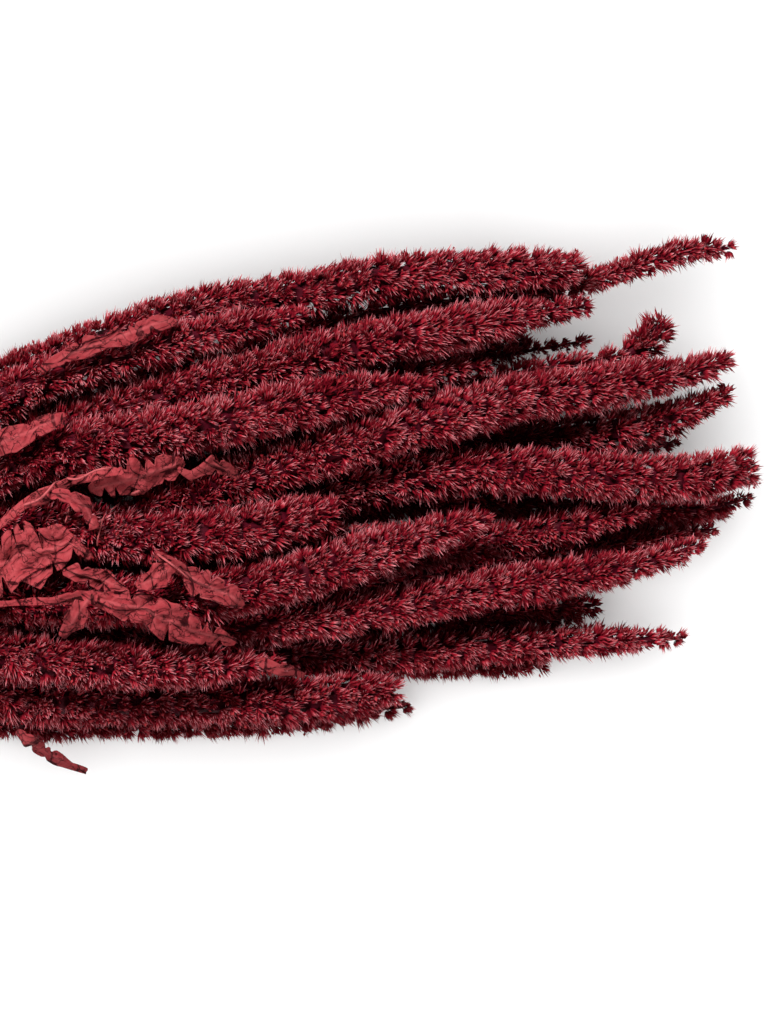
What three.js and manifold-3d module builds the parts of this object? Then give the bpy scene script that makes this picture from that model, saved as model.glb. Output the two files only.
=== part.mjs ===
// A cut and dried amaranth seed head lying on a surface: one stalk, the bristly flower spikes that
// grow from it, and the crumpled leaves caught among them. Millimetres, +Z up.
//
// The plan below is drawn as the head is seen from above, x towards the spikes' tips. The finished
// group is turned by STALK_LEAN, so that the stalk runs along +X.
import * as THREE from "three";
import { mergeVertices } from "three/addons/utils/BufferGeometryUtils.js";
import Module from "manifold-3d";

const wasm = await Module();
wasm.setup();

// Driving dimensions
const STALK_LEAN = THREE.MathUtils.degToRad(9.5);
const STALK_CUT_RADIUS = 6.2;
const STALK_TOP_RADIUS = 2.9;
const STALK_SIDES = 10;
const STALK_RINGS = 15;
const STALK_FURROW = 0.07; // share of the radius that each second edge is sunk by
const PEDUNCLE_RADIUS = 2.1; // the bare foot of a spike
const PEDUNCLE_SHARE = 0.09; // of the spike's length, before the flowers begin
const SWELL_SHARE = 0.28; // of the length, by which the spike has reached its full radius
const END_SPIKE_FOOT = 1.3; // how much thicker the end spike's foot is
const END_SPIKE_SWELL_SHARE = 0.16;
const FOOT_SUNK = 1.2; // how far a foot starts below the stalk's skin, before it is cut to that skin
const SLIMMER_AT_TIP = 0.86; // the full radius near the tip, as a share of that near the root
const TAPER_LENGTH = 52; // from full radius to the tip, where a spike has no taper of its own
const BULB_LENGTH = 26; // of the swelling at a bulb spike's tip
const TIP_RADIUS = 2.4;
const TIP_POINT = 1.4; // how far the tip's point stands out, in tip radii
const CLUSTER_PITCH = 2.7; // between rings of flower clusters, and PITCH_SHARE of the radius more
const PITCH_SHARE = 0.74;
const CLUSTERS_ROUND = 5;
const CLUSTERS_ROUND_SLIM = 4; // on spikes slimmer than SLIM_RADIUS
const SLIM_RADIUS = 8.5;
const HOLLOW_SHARE = 0.68; // radius between the clusters, as a share of the radius at their points
const POINT_FORWARD = 0.6; // how far a cluster's point leans towards the spike's tip, in pitches
const POINT_JITTER = 0.14;
const NODE_GAP = 0.3; // between neighbouring solids that meet
const LEAF_THICKNESS = 0.9;
const LEAF_STEEPEST = 0.9; // rise over run that a leaf can follow
const LEAF_STALK_HALF = 1; // half the width of its bare stalk
const LEAF_CLEARANCE = 1.2; // of a leaf over the spikes that it lies on
const LEAF_SPREAD = 3; // it lies over whatever is this near to each of its points
const LEAF_STEP = 7.5; // along a leaf, with LEAF_FEWEST_STEPS to LEAF_MOST_STEPS in all
const LEAF_COLUMN = 4.2; // across a leaf
const LEAF_FEWEST_STEPS = 5;
const LEAF_MOST_STEPS = 12;
const LEAF_NEAR = 5.8; // a leaf lies over every leaf that is as near as this
const LEAF_TEAR = 0.3; // how far its edge goes in and out, as a share of half its width
const PRESSED = 2; // how far the lowest clusters are flattened by the surface under them

// How the spikes settle against each other
const SETTLE_STEP = 6;
const SETTLE_ROUNDS = 800;
const SETTLE_GAP = 0.7;
const HOME_PULL = 0.012;
const ROOT_FREE = 22; // length at the root in which a spike may lie close to the stalk
const PUSH = 0.3; // share of an overlap that each of two spikes gives way by, in one round
const PUSH_FROM_STALK = 0.5;
const ALONG_SHARE = 0.2; // of a push along x, because the spikes run that way and part sideways
const EVENING = 0.35; // how strongly a push spreads along a spike, in each of EVENING_PASSES
const EVENING_PASSES = 2;
const STALK_POINTS = 44;

// Points along the stalk, from its cut end to the foot of the end spike.
const STALK_LINE = [
  [-168, -50, 6.1],
  [-130, -43.5, 13],
  [-85, -36, 21],
  [-35, -27, 28],
  [20, -18, 32],
  [62, -11, 33],
  [100, -4, 34],
];

// The spikes, from the plan's top edge to its bottom edge, and then those underneath. root is the x
// where a spike leaves the stalk, radius its fullest radius, taper the length that its tip narrows
// over, and line the points that it passes.
const SPIKES = [
  {
    root: 8, radius: 7.4, taper: 26,
    line: [
      [50, 36, 28], [110, 72.5, 31], [168, 88, 25], [227, 94, 23], [248, 98.5, 26], [275, 107.5, 28],
      [294, 112.5, 29], [305, 112.5, 29],
    ],
  },
  {
    root: -90, radius: 12, taper: 15,
    line: [
      [-48, 16, 26], [0, 52.5, 32], [42, 70, 35], [84, 82.5, 37], [126, 89.5, 38], [165, 97, 38],
      [202, 99.5, 37], [239, 100.5, 35],
    ],
  },
  {
    root: -75, radius: 10.6,
    line: [
      [-40, 4, 36], [0, 39, 46], [42, 55, 50], [84, 67, 50], [105, 72, 49], [128, 76, 46],
    ],
  },
  {
    root: -57, radius: 12,
    line: [
      [-25, -2, 42], [0, 22, 50], [42, 36, 55], [84, 49.5, 57], [126, 61.5, 55], [168, 71, 50],
      [210, 79.5, 42], [244, 86, 36],
    ],
  },
  {
    root: 22, radius: 5,
    line: [
      [60, 14, 26], [110, 38, 16], [168, 57, 14], [189, 60.5, 15], [210, 65, 17], [229, 68.5, 20],
      [246, 71.5, 22],
    ],
  },
  {
    root: 34, radius: 7.6, bulb: true,
    line: [
      [70, 10, 24], [120, 32, 18], [193, 51.5, 22], [235, 60, 28], [253, 62, 30], [267, 64.5, 32],
      [275.5, 69, 33], [278, 75, 34],
    ],
  },
  {
    root: -8, radius: 12.4,
    line: [
      [25, -10, 42], [60, -2, 46], [84, 6, 50], [126, 20, 56], [168, 34, 57], [210, 46, 51],
      [252, 53, 43], [294, 60, 37], [304, 64, 36],
    ],
  },
  {
    root: -69, radius: 12.6,
    line: [
      [-35, -12, 42], [0, 12, 50], [42, 25, 57], [84, 33, 60], [126, 42, 59], [155, 48, 55],
      [176, 50, 53],
    ],
  },
  {
    root: 62, radius: 11.8,
    line: [
      [95, 6, 24], [130, 17, 17], [170, 25, 17], [210, 29.5, 21], [252, 32, 26], [277, 36.5, 28],
      [294, 43, 30], [305, 48.5, 31],
    ],
  },
  {
    root: 100, radius: 12, terminal: true, taper: 13,
    line: [
      [130, 2, 34], [168, 12, 36], [210, 15, 40], [252, 13.5, 42], [285, 12.5, 40], [312, 17, 38],
    ],
  },
  {
    root: 75, radius: 9,
    line: [
      [110, 2, 18], [150, 7, 12], [180, 6, 12], [210, 4, 13], [250, 1, 17], [275, -2, 20],
      [294, -2.5, 23], [313, 2.5, 27],
    ],
  },
  {
    root: -79, radius: 13, taper: 18,
    line: [
      [-35, -24, 42], [0, 0, 50], [42, -5, 57], [84, -8, 60], [110, -6, 56], [137, -1, 50],
    ],
  },
  {
    root: 54, radius: 9.6, taper: 34,
    line: [
      [90, -16, 26], [130, -20, 22], [170, -19, 22], [213, -11, 26], [231, -7, 28], [252, -3, 31],
      [271, 1.5, 33],
    ],
  },
  {
    root: -62, radius: 12.4,
    line: [
      [-30, -36, 42], [0, -36, 48], [42, -38, 54], [84, -36, 57], [126, -25, 57], [160, -14, 54],
      [189, -5, 50], [202, -2, 48],
    ],
  },
  {
    root: 41, radius: 9.8,
    line: [
      [85, -20, 17], [130, -27, 11], [180, -25, 10], [222, -18, 12], [252, -12.5, 16],
      [273, -9.5, 19], [290, -6.5, 21], [300, -4.5, 23],
    ],
  },
  {
    root: -48, radius: 11,
    line: [
      [-15, -42, 36], [20, -50, 40], [84, -50, 44], [126, -46, 47], [168, -40, 46], [210, -32, 42],
      [252, -26, 36], [275, -21.5, 33], [292, -15.5, 31],
    ],
  },
  {
    root: 6, radius: 9, taper: 26,
    line: [
      [45, -32, 18], [90, -40, 12], [140, -44.5, 11], [200, -43, 13], [249, -40, 16],
    ],
  },
  {
    root: -18, radius: 9.8,
    line: [
      [20, -48, 24], [70, -56, 26], [126, -60, 26], [168, -60, 26], [210, -57, 23], [252, -55, 20],
      [286, -54, 18],
    ],
  },
  {
    root: -12, radius: 9, taper: 16,
    line: [
      [25, -46, 14], [70, -58, 9], [120, -63, 9], [170, -65, 9], [226, -64.5, 10],
    ],
  },
  {
    root: -84, radius: 11.6,
    line: [
      [-45, -50, 36], [0, -59, 47], [40, -62, 54], [75, -63, 55], [114, -62, 50],
    ],
  },
  {
    root: -95, radius: 13, taper: 26,
    line: [
      [-55, -60, 22], [0, -78, 30], [42, -79, 34], [84, -79, 35], [126, -78, 35], [163, -74, 30],
    ],
  },
  {
    root: -104, radius: 9.6,
    line: [
      [-60, -69, 12], [0, -89, 11], [42, -90, 10], [84, -90.5, 10], [126, -89, 10], [155, -86, 10],
      [168, -84.5, 11],
    ],
  },
  {
    root: -66, radius: 11.4,
    line: [
      [-30, 10, 16], [20, 41, 13], [63, 55, 12], [105, 67, 12], [150, 76, 12], [190, 84, 13],
    ],
  },
  {
    root: -54, radius: 10.4, taper: 60,
    line: [
      [-20, -6, 16], [20, 8, 13], [70, 15, 13], [120, 4.5, 11], [163, -5, 10],
    ],
  },
  {
    root: -87, radius: 8.6,
    line: [
      [-50, -38, 14], [-10, -50, 14], [15, -57, 13], [40, -65, 11], [75, -71, 9], [110, -74, 9],
    ],
  },
  {
    root: -99, radius: 11.4,
    line: [
      [-60, -34, 13], [0, -24, 12], [50, -18, 12], [100, -16, 12], [150, -20, 12],
    ],
  },
  {
    root: -36, radius: 9.8,
    line: [
      [0, 6, 30], [40, 20, 33], [84, 34, 35], [130, 48, 36], [170, 58, 37], [203, 62, 36],
    ],
  },
  {
    root: 18, radius: 9.4,
    line: [
      [40, -22, 42], [75, -20, 40], [110, -10, 34], [160, -6, 32], [205, -12, 27],
    ],
  },
];

// The leaves, in the same plan: how strongly the blade is crumpled, and a line of points along its
// middle, each with half the blade's width there. Where it is narrow it is bare leaf stalk.
const LEAVES = [
  {
    crumple: 2,
    line: [
      [19, 57.5, 0.6], [29, 62.5, 2.5], [38, 66.5, 3.8], [48, 69.5, 2.9], [59, 74, 4.2],
      [68, 77, 3.4], [76, 78, 0.8],
    ],
  },
  {
    crumple: 2,
    line: [
      [-25, 13, 0.6], [-12.5, 18.5, 3.4], [2, 26, 4.6], [15, 31, 4.2], [24.5, 35, 3.8],
      [31.5, 39, 0.6],
    ],
  },
  {
    crumple: 3,
    line: [
      [41, 9, 0.8], [47, 10.5, 3.8], [57, 12.5, 5.5], [66.5, 15.5, 5.9], [75, 18, 4.2],
      [80, 20.5, 0.8],
    ],
  },
  {
    crumple: 3.6,
    line: [
      [-29, -36, 1.7], [-15, -32, 8.4], [0, -24, 12.4], [14.5, -18, 13], [26, -15, 10.9],
      [35, -15.5, 5], [41.5, -19, 0.8],
    ],
  },
  {
    crumple: 2.4,
    line: [[31, -25, 0.8], [36, -25, 3.4], [43.5, -27, 4.4], [51, -30, 3.8], [57, -34, 0.8]],
  },
  {
    crumple: 2.4,
    line: [
      [68, -17, 0.6], [74, -20.5, 1.7], [80.5, -25, 3.4], [89, -30, 5.9], [97.5, -34, 4.6],
      [104, -39, 0.8],
    ],
  },
  {
    crumple: 2.6,
    line: [
      [-10.5, -38.5, 0.8], [0, -38, 0.9], [25, -36.5, 1.3], [42, -35, 2.9], [54.5, -37.5, 5],
      [66.5, -40.5, 5.9], [77.5, -46, 7.1], [88, -50, 5.9], [96, -52, 2.5], [100, -54, 0.8],
    ],
  },
  {
    crumple: 2,
    line: [[44.5, -33, 1.7], [41, -37.5, 4.6], [37, -42.5, 4.6], [32, -48.5, 1.7], [30, -51, 0.6]],
  },
  {
    crumple: 1.6,
    line: [
      [78, 17, 0.8], [83, 14.5, 1.7], [88, 17, 2.5], [93, 19, 3.4], [98.5, 16.5, 2.5],
      [101.5, 14, 0.8],
    ],
  },
  { crumple: 1, line: [[108.5, -62, 0.6], [114, -64, 2.5], [121, -66, 2.9], [127.5, -69, 0.8]] },
  {
    crumple: 3.4,
    line: [
      [-112, -37, 0.8], [-105, -35, 1.2], [-88, -28, 9], [-61.5, -10.5, 15], [-40, 8, 12],
      [-22, 30, 0.8],
    ],
  },
  {
    crumple: 3.4,
    line: [
      [-116, -47, 0.8], [-108, -48, 1.2], [-92, -51, 8], [-66.5, -57.5, 14], [-46, -70, 12],
      [-28, -90, 0.8],
    ],
  },
  {
    crumple: 3.6,
    line: [
      [-104, -36, 0.8], [-97, -35, 1.2], [-82, -30, 10], [-60.5, -25, 15], [-38, -22, 12],
      [-16, -24, 0.8],
    ],
  },
  {
    crumple: 1.4,
    line: [
      [6, -93, 0.8], [12, -98, 3], [19, -103, 3.2], [25, -108, 2], [33, -112, 0.7],
    ],
  },
  {
    crumple: 2,
    line: [
      [3.5, -7, 0.6], [14.5, 2.5, 2.1], [24.5, 7, 2.5], [33, 12, 1.7], [41, 13, 1.7],
      [48.5, 16, 2.1], [56, 15.5, 0.8],
    ],
  },
  {
    crumple: 2,
    line: [
      [24, 6, 0.8], [30, 6.5, 2.1], [37, 4.5, 3.4], [41, -0.5, 3.8], [43.5, -7, 1.7],
    ],
  },
  {
    crumple: 2.4,
    line: [
      [61.5, -30.5, 1.3], [66.5, -28, 3.8], [71.5, -25.5, 4.6], [76.5, -22.5, 1.3],
    ],
  },
];

// Small tools

function seeded(seed) {
  let state = seed;
  return () => {
    state = (state + 0x6d2b79f5) | 0;
    let mixed = Math.imul(state ^ (state >>> 15), 1 | state);
    mixed = (mixed + Math.imul(mixed ^ (mixed >>> 7), 61 | mixed)) ^ mixed;
    return ((mixed ^ (mixed >>> 14)) >>> 0) / 2 ** 32;
  };
}

const smooth = (from, to, value) => THREE.MathUtils.smoothstep(value, from, to);
const curveThrough = (points) => new THREE.CatmullRomCurve3(points, false, "centripetal");

function geometryOf(positions, triangles) {
  const geometry = new THREE.BufferGeometry();
  geometry.setAttribute("position", new THREE.Float32BufferAttribute(positions, 3));
  geometry.setIndex(triangles);
  return geometry;
}

function solidOf(geometry) {
  const bare = geometry.clone();
  bare.deleteAttribute("normal");
  bare.deleteAttribute("uv");
  const merged = mergeVertices(bare);
  return new wasm.Manifold(
    new wasm.Mesh({
      numProp: 3,
      vertProperties: new Float32Array(merged.attributes.position.array),
      triVerts: new Uint32Array(merged.index.array),
    }),
  );
}

function geometryOfSolid(solid) {
  const { numProp, vertProperties, triVerts } = solid.getMesh();
  const positions = [];
  for (let i = 0; i < vertProperties.length; i += numProp) {
    positions.push(vertProperties[i], vertProperties[i + 1], vertProperties[i + 2]);
  }
  return geometryOf(positions, [...triVerts]);
}

// What a cut leaves is often one body and a few scraps. The scraps are dropped.
function largestBody(solid) {
  return solid.decompose().reduce((best, body) => (body.volume() > best.volume() ? body : best));
}

// The stalk

const stalkCurve = curveThrough(STALK_LINE.map((p) => new THREE.Vector3(...p)));
const stalkRadius = (share) => THREE.MathUtils.lerp(STALK_CUT_RADIUS, STALK_TOP_RADIUS, share ** 0.8);

function stalkShareAt(x) {
  let low = 0;
  let high = 1;
  for (let i = 0; i < 30; i++) {
    const middle = (low + high) / 2;
    if (stalkCurve.getPointAt(middle).x < x) low = middle;
    else high = middle;
  }
  return low;
}

// A furrowed rod along the stalk's line, grown outwards by extra.
function stalkGeometry(extra = 0) {
  const frames = stalkCurve.computeFrenetFrames(STALK_RINGS, false);
  const positions = [];
  const triangles = [];
  for (let ring = 0; ring <= STALK_RINGS; ring++) {
    const share = ring / STALK_RINGS;
    const centre = stalkCurve.getPointAt(share);
    for (let side = 0; side < STALK_SIDES; side++) {
      const angle = (side / STALK_SIDES) * 2 * Math.PI;
      const radius = stalkRadius(share) * (side % 2 ? 1 - STALK_FURROW : 1) + extra;
      const out = frames.normals[ring]
        .clone()
        .multiplyScalar(Math.cos(angle) * radius)
        .addScaledVector(frames.binormals[ring], Math.sin(angle) * radius);
      positions.push(...out.add(centre).toArray());
    }
  }
  for (let ring = 0; ring < STALK_RINGS; ring++) {
    for (let side = 0; side < STALK_SIDES; side++) {
      const next = (side + 1) % STALK_SIDES;
      const [a, b] = [ring * STALK_SIDES + side, ring * STALK_SIDES + next];
      triangles.push(a, b, b + STALK_SIDES, a, b + STALK_SIDES, a + STALK_SIDES);
    }
  }
  const cut = positions.length / 3;
  positions.push(...stalkCurve.getPointAt(0).addScaledVector(frames.tangents[0], -extra).toArray());
  const end = stalkCurve.getPointAt(1).addScaledVector(frames.tangents[STALK_RINGS], extra);
  positions.push(...end.toArray());
  const last = STALK_RINGS * STALK_SIDES;
  for (let side = 0; side < STALK_SIDES; side++) {
    const next = (side + 1) % STALK_SIDES;
    triangles.push(cut, next, side, cut + 1, last + side, last + next);
  }
  return geometryOf(positions, triangles);
}

// The spikes, settled against each other

function radiusAlong(spike, travelled, length) {
  const share = travelled / length;
  const left = length - travelled;
  const foot = PEDUNCLE_RADIUS * (spike.terminal ? END_SPIKE_FOOT : 1);
  const swell = smooth(PEDUNCLE_SHARE, spike.terminal ? END_SPIKE_SWELL_SHARE : SWELL_SHARE, share);
  let taper = Math.sqrt(Math.min(1, left / (spike.taper ?? TAPER_LENGTH)));
  if (spike.bulb) {
    const bulb = 1 - smooth(BULB_LENGTH * 0.3, BULB_LENGTH, left);
    taper = Math.max(taper * 0.8, bulb * smooth(-BULB_LENGTH * 0.12, BULB_LENGTH * 0.24, left));
  }
  const full = spike.radius * THREE.MathUtils.lerp(1, SLIMMER_AT_TIP, share);
  return THREE.MathUtils.lerp(foot, Math.max(TIP_RADIUS, full * taper), swell);
}

function layOut(spike) {
  const share = stalkShareAt(spike.root);
  const axis = stalkCurve.getPointAt(share);
  const along = stalkCurve.getTangentAt(share);
  const first = new THREE.Vector3(...spike.line[0]);
  let root = axis.clone();
  if (!spike.terminal) {
    const out = first.clone().sub(axis);
    out.addScaledVector(along, -out.dot(along)).normalize();
    root = axis.clone().addScaledVector(out, stalkRadius(share) - FOOT_SUNK);
  }
  const curve = curveThrough([root, ...spike.line.map((p) => new THREE.Vector3(...p))]);
  const length = curve.getLength();
  const count = Math.round(length / SETTLE_STEP);
  const home = curve.getSpacedPoints(count);
  const radii = home.map((_, i) => radiusAlong(spike, (i / count) * length, length));
  const shift = home.map(() => new THREE.Vector3());
  return { spike, home, radii, shift, now: home.map((p) => p.clone()) };
}

// Pushes two rows of round sections apart wherever they lie too close. A fixed row only pushes.
function pushApart(a, b, skipA, fixedB) {
  const apart = new THREE.Vector3();
  for (let i = skipA; i < a.now.length; i++) {
    for (let j = 0; j < b.now.length; j++) {
      const need = a.radii[i] + b.radii[j] + SETTLE_GAP;
      if (Math.abs(a.now[i].x - b.now[j].x) > need) continue;
      apart.subVectors(a.now[i], b.now[j]);
      const distance = apart.length();
      if (distance >= need || distance === 0) continue;
      apart.x *= ALONG_SHARE;
      apart.setLength((need - distance) * (fixedB ? PUSH_FROM_STALK : PUSH));
      a.shift[i].add(apart);
      if (!fixedB) b.shift[j].sub(apart);
    }
  }
}

function settle(rows, stalkRow) {
  for (let round = 0; round < SETTLE_ROUNDS; round++) {
    const pull = round < SETTLE_ROUNDS * 0.6 ? HOME_PULL : 0;
    rows.forEach((a, i) => {
      rows.slice(i + 1).forEach((b) => pushApart(a, b, 1, false));
      if (!a.spike.terminal) pushApart(a, stalkRow, Math.ceil(ROOT_FREE / SETTLE_STEP), true);
    });
    for (const { shift, home, now, radii } of rows) {
      shift[0].set(0, 0, 0);
      for (let pass = 0; pass < EVENING_PASSES; pass++) {
        for (let k = 1; k < shift.length; k++) {
          const next = shift[Math.min(k + 1, shift.length - 1)];
          const middle = shift[k - 1].clone().add(next).multiplyScalar(0.5);
          shift[k].lerp(middle, EVENING);
        }
      }
      shift.forEach((s, k) => {
        s.multiplyScalar(1 - pull);
        s.z = Math.max(s.z, radii[k] - PRESSED - home[k].z);
        now[k].addVectors(home[k], s);
      });
    }
  }
}

const laid = SPIKES.map(layOut);
const stalkRow = {
  now: stalkCurve.getSpacedPoints(STALK_POINTS),
  radii: Array.from({ length: STALK_POINTS + 1 }, (_, i) => stalkRadius(i / STALK_POINTS)),
};
settle(laid, stalkRow);

// A spike as one closed surface: rings of hollows, and in each diamond between them the point of a
// cluster of flowers.
function spikeGeometry({ spike, now }, seed, extra = 0) {
  const random = seeded(seed);
  const curve = curveThrough(now.filter((_, i) => i % 2 === 0 || i === now.length - 1));
  const length = curve.getLength();
  const pitch = CLUSTER_PITCH + PITCH_SHARE * spike.radius;
  const round = spike.radius < SLIM_RADIUS ? CLUSTERS_ROUND_SLIM : CLUSTERS_ROUND;
  const rings = Math.round(length / pitch);
  const frames = curve.computeFrenetFrames(rings, false);
  const turn = (2 * Math.PI) / round;
  const positions = [];
  const triangles = [];
  const radiusOf = (ring) => radiusAlong(spike, (ring / rings) * length, length);
  const bare = (ring) => radiusOf(ring) < PEDUNCLE_RADIUS * 1.4;

  function addVertex(ring, angle, radius, forward) {
    const point = curve
      .getPointAt(ring / rings)
      .addScaledVector(frames.normals[ring], Math.cos(angle) * radius)
      .addScaledVector(frames.binormals[ring], Math.sin(angle) * radius)
      .addScaledVector(frames.tangents[ring], forward);
    positions.push(point.x, point.y, point.z);
    return positions.length / 3 - 1;
  }
  for (let ring = 0; ring <= rings; ring++) {
    for (let column = 0; column < round; column++) {
      const share = bare(ring) ? 1 : HOLLOW_SHARE;
      addVertex(ring, (column + (ring % 2) / 2) * turn, radiusOf(ring) * share + extra, 0);
    }
  }
  const hollow = (ring, column) => ring * round + ((column + round) % round);
  for (let ring = 0; ring <= rings; ring++) {
    for (let column = 0; column < round; column++) {
      const [left, right] = [hollow(ring, column), hollow(ring, column + 1)];
      // The hollow of the next and the last ring that faces this cluster.
      const facing = column + (ring % 2);
      const [back, front] = [hollow(ring - 1, facing), hollow(ring + 1, facing)];
      if (ring === 0) triangles.push(left, right, front);
      else if (ring === rings) triangles.push(left, back, right);
      else if (bare(ring)) triangles.push(left, back, right, left, right, front);
      else {
        const angle = (column + 0.5 + (ring % 2) / 2 + (random() - 0.5) * 0.3) * turn;
        const reach = radiusOf(ring) * (1 - POINT_JITTER * random()) + extra;
        const point = addVertex(ring, angle, reach, pitch * POINT_FORWARD * (0.7 + 0.6 * random()));
        triangles.push(left, point, front, point, right, front, left, back, point, point, back, right);
      }
    }
  }
  const foot = addVertex(0, 0, 0, -extra);
  const tip = addVertex(rings, 0, 0, radiusOf(rings) * TIP_POINT + extra);
  for (let column = 0; column < round; column++) {
    triangles.push(foot, hollow(0, column + 1), hollow(0, column));
    triangles.push(tip, hollow(rings, column), hollow(rings, column + 1));
  }
  return geometryOf(positions, triangles);
}

// The leaves, laid over what is there already

const lying = [...laid, stalkRow].flatMap(({ now, radii }) =>
  now.map(({ x, y, z }, i) => ({ x, y, z, reach: radii[i] })),
);
const lyingLeaves = [];

function heightOver(x, y, clearance) {
  let height = LEAF_THICKNESS;
  for (const { x: px, y: py, z, reach } of lying) {
    const r = reach + clearance;
    const away = (x - px) ** 2 + (y - py) ** 2;
    if (away < r * r) height = Math.max(height, z + Math.sqrt(r * r - away));
  }
  for (const p of lyingLeaves) {
    const near = (x - p.x) ** 2 + (y - p.y) ** 2 < LEAF_NEAR ** 2;
    if (near) height = Math.max(height, p.z + LEAF_THICKNESS + NODE_GAP);
  }
  return height;
}

function highestAround(x, y, clearance, around) {
  let height = heightOver(x, y, clearance);
  for (let angle = 0; angle < 2 * Math.PI; angle += Math.PI / 4) {
    const [dx, dy] = [around * Math.cos(angle), around * Math.sin(angle)];
    height = Math.max(height, heightOver(x + dx, y + dy, clearance));
  }
  return height;
}

// A leaf's middle surface: rows of points from its foot to its tip, laid over the spikes as a stiff
// sheet would be. Its line is one curve through x, y and half the width.
function leafRows(leaf, random) {
  const line = curveThrough(leaf.line.map((point) => new THREE.Vector3(...point)));
  const widest = Math.max(...leaf.line.map(([, , half]) => half));
  const columns = 2 * Math.max(1, Math.round(widest / LEAF_COLUMN));
  const fitting = Math.round(line.getLength() / LEAF_STEP);
  const steps = THREE.MathUtils.clamp(fitting, LEAF_FEWEST_STEPS, LEAF_MOST_STEPS);
  const rows = [];
  for (let step = 0; step <= steps; step++) {
    const middle = line.getPointAt(step / steps);
    const ahead = line.getTangentAt(step / steps);
    const left = new THREE.Vector2(-ahead.y, ahead.x).normalize();
    const half = Math.max(LEAF_STALK_HALF, middle.z);
    const row = [];
    for (let column = 0; column <= columns; column++) {
      const across = (column / columns) * 2 - 1;
      const tear = LEAF_TEAR * (step % 2 ? 1 : -1) * random() * across ** 2;
      const edge = half * across * (1 + tear);
      const x = middle.x + left.x * edge;
      const y = middle.y + left.y * edge;
      const spread = step === 0 ? 0 : Math.min(LEAF_SPREAD, half);
      const low = highestAround(x, y, step === 0 ? NODE_GAP : LEAF_CLEARANCE, spread);
      const fold = leaf.crumple * (Math.abs(across) ** 1.5 * 0.7 + (column % 2 ? 0.5 : 0) + random());
      row.push(new THREE.Vector3(x, y, low + fold * Math.min(1, half / 5)));
    }
    rows.push(row);
  }
  const stiffen = (p, q) => {
    p.z = Math.max(p.z, q.z - LEAF_STEEPEST * Math.hypot(p.x - q.x, p.y - q.y));
  };
  for (let pass = 0; pass < steps; pass++) {
    rows.forEach((row, step) => row.forEach((p, column) => {
      if (step > 0) stiffen(p, rows[step - 1][column]);
      if (step < steps) stiffen(p, rows[step + 1][column]);
      if (column > 0) stiffen(p, row[column - 1]);
      if (column < columns) stiffen(p, row[column + 1]);
    }));
  }
  return rows;
}

function leafGeometry(leaf, seed) {
  const rows = leafRows(leaf, seeded(seed));
  const steps = rows.length - 1;
  const width = rows[0].length;
  const columns = width - 1;
  const middle = rows.flat();
  const cells = [];
  for (let step = 0; step < steps; step++) {
    for (let column = 0; column < columns; column++) {
      const a = step * width + column;
      cells.push([a, a + width, a + width + 1], [a, a + width + 1, a + 1]);
    }
  }
  const sheet = geometryOf(middle.flatMap((p) => p.toArray()), cells.flat());
  sheet.computeVertexNormals();
  const facing = sheet.attributes.normal;
  const up = facing.getZ(width + 2) > 0 ? 1 : -1;
  const positions = [];
  for (const side of [up, -up]) {
    middle.forEach((p, i) => {
      const away = new THREE.Vector3().fromBufferAttribute(facing, i);
      positions.push(...away.multiplyScalar((side * LEAF_THICKNESS) / 2).add(p).toArray());
    });
  }
  const under = middle.length;
  const rim = [];
  for (let column = 0; column < columns; column++) rim.push(column);
  for (let step = 0; step < steps; step++) rim.push(step * width + columns);
  for (let column = columns; column > 0; column--) rim.push(steps * width + column);
  for (let step = steps; step > 0; step--) rim.push(step * width);
  const faces = cells.flatMap(([a, b, c]) => [[a, b, c], [under + a, under + c, under + b]]);
  rim.forEach((a, i) => {
    const b = rim[(i + 1) % rim.length];
    faces.push([a, b, under + b], [a, under + b, under + a]);
  });
  const triangles = faces.flatMap(([a, b, c]) => (up > 0 ? [a, b, c] : [a, c, b]));
  middle.forEach((p) => lyingLeaves.push(p));
  return geometryOf(positions, triangles);
}

// The finished solids: none below the surface, none inside another

const slab = new THREE.BoxGeometry(900, 700, 60).translate(60, 0, -30);
const surface = solidOf(slab);
const onSurface = (solid) => solid.subtract(surface);

const stalkSolid = onSurface(solidOf(stalkGeometry()));
const stalkKeepOut = solidOf(stalkGeometry(NODE_GAP));
const spikeSolids = laid.map((row, i) => {
  const grown = solidOf(spikeGeometry(row, 100 + i));
  return largestBody(onSurface(grown.subtract(stalkKeepOut)));
});
const spikeKeepOuts = laid.map((row, i) => solidOf(spikeGeometry(row, 100 + i, NODE_GAP)));
const leafSolids = LEAVES.map((leaf, i) => {
  const blade = solidOf(leafGeometry(leaf, 500 + i));
  const offStalk = blade.subtract(stalkKeepOut);
  return largestBody(spikeKeepOuts.reduce((rest, spike) => rest.subtract(spike), offStalk));
});

const spikeFinish = new THREE.MeshStandardMaterial({ color: 0x7a1c24, roughness: 0.72, metalness: 0 });
const stalkFinish = new THREE.MeshStandardMaterial({ color: 0x6e2a2c, roughness: 0.8, metalness: 0 });
const leafFinish = new THREE.MeshStandardMaterial({ color: 0xa0403f, roughness: 0.85, metalness: 0 });

const head = new THREE.Group();
function addNode(name, solid, material) {
  const mesh = new THREE.Mesh(geometryOfSolid(solid), material);
  mesh.name = name;
  head.add(mesh);
}
const numbered = (name, i) => `${name}_${String(i + 1).padStart(2, "0")}`;
addNode("stalk", stalkSolid, stalkFinish);
spikeSolids.forEach((solid, i) => addNode(numbered("spike", i), solid, spikeFinish));
leafSolids.forEach((solid, i) => addNode(numbered("leaf", i), solid, leafFinish));
head.rotation.z = -STALK_LEAN;

// The origin is the middle of the footprint, on the surface.
const box = new THREE.Box3().setFromObject(head, true);
const middle = box.getCenter(new THREE.Vector3());
head.position.set(-middle.x, -middle.y, -box.min.z);

export default head;
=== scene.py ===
"""A cut and dried amaranth seed head: bristly flower spikes on one stalk, with crumpled leaves among them."""

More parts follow.
